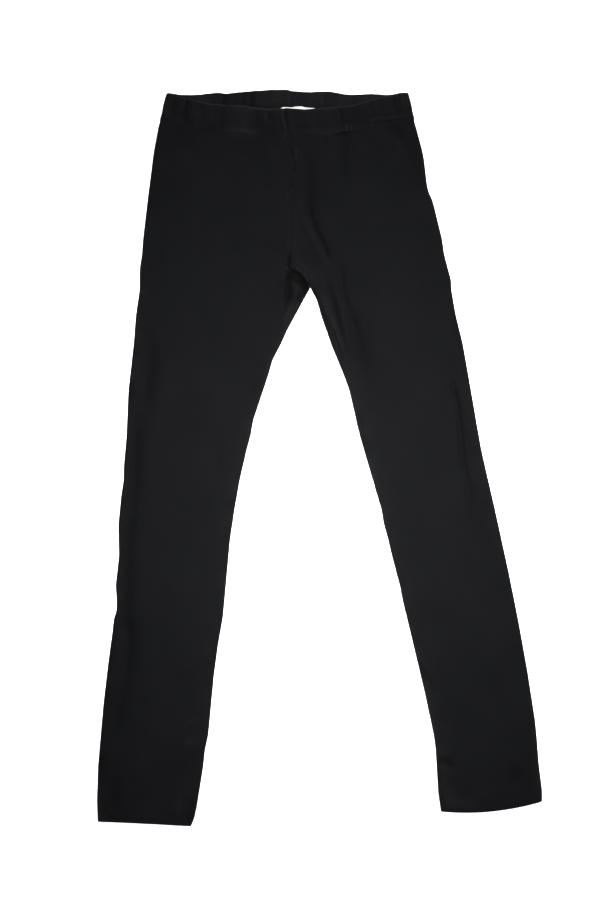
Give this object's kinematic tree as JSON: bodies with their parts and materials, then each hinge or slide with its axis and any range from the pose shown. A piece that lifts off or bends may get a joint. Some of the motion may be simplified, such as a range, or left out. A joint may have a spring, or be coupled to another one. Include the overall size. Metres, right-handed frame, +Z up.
{
  "type": "leggings",
  "caption": "Plain ankle-length jersey leggings with an elastic waist casing, laid flat with the front up and the legs a little apart.",
  "frame": {"origin": "on the surface that the garment lies on, under the middle of its bounding box", "axes": "+Y from the hems to the waist, +X to the wearer's left leg, +Z up through the front layer"},
  "size_m": [0.593, 0.9841, 0.0092],
  "materials": {
    "black_jersey": "matt fine cotton-elastane jersey",
    "black_casing": "the same jersey, doubled over elastic and softly puckered",
    "white_label": "blank woven satin"
  },
  "bodies": {
    "root": {"leg_right": "black_jersey", "leg_left": "black_jersey", "waistband": "black_casing", "label": "white_label"}
  },
  "joints": []
}
